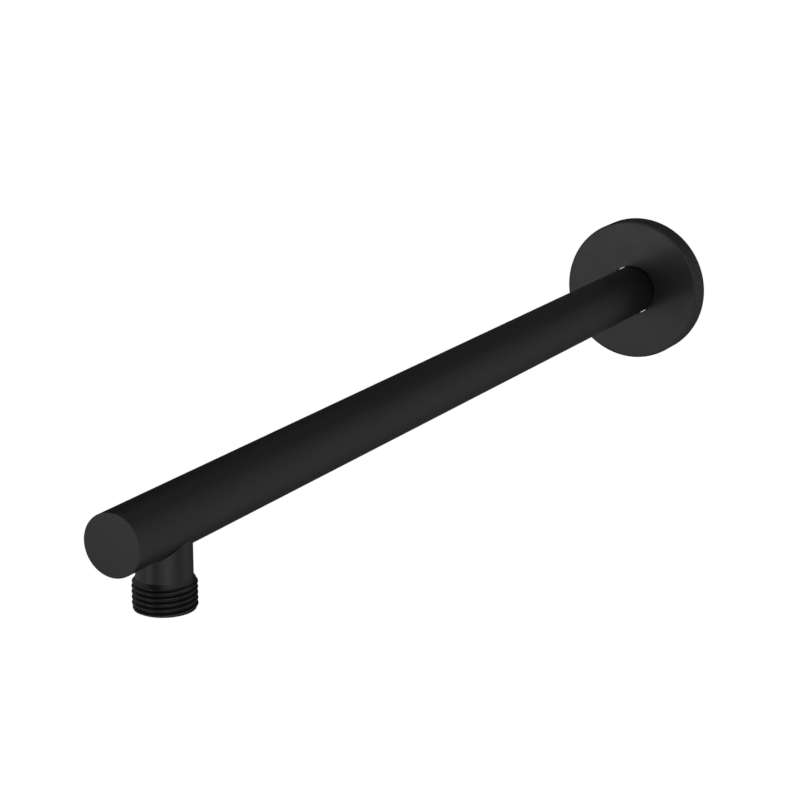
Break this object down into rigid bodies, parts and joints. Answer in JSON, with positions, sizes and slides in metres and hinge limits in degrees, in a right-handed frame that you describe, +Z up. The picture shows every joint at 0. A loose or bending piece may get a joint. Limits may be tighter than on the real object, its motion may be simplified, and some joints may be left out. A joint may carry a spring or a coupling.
{
  "type": "shower arm",
  "caption": "Straight wall-mounted shower arm: a round tube with a closed end, a threaded outlet pointing down beside it, and a round wall flange that slides on the tube.",
  "frame": {"origin": "on the tube's axis at the wall face, where the inlet thread starts", "axes": "+Y into the wall along the inlet thread, the arm stands out along -Y, +Z up, the outlet points down along -Z"},
  "size_m": [0.061, 0.415, 0.061],
  "materials": {
    "black_coat": "matte black coating on brass"
  },
  "bodies": {
    "arm": {"arm_tube": "black_coat", "end_cap": "black_coat", "outlet_spigot": "black_coat", "inlet_nipple": "black_coat"},
    "flange": {"wall_flange": "black_coat"}
  },
  "joints": [
    {"name": "flange_slide", "type": "slide", "parent": "arm", "child": "flange", "axis": [0, -1, 0], "range_m": [0, 0.35]}
  ]
}
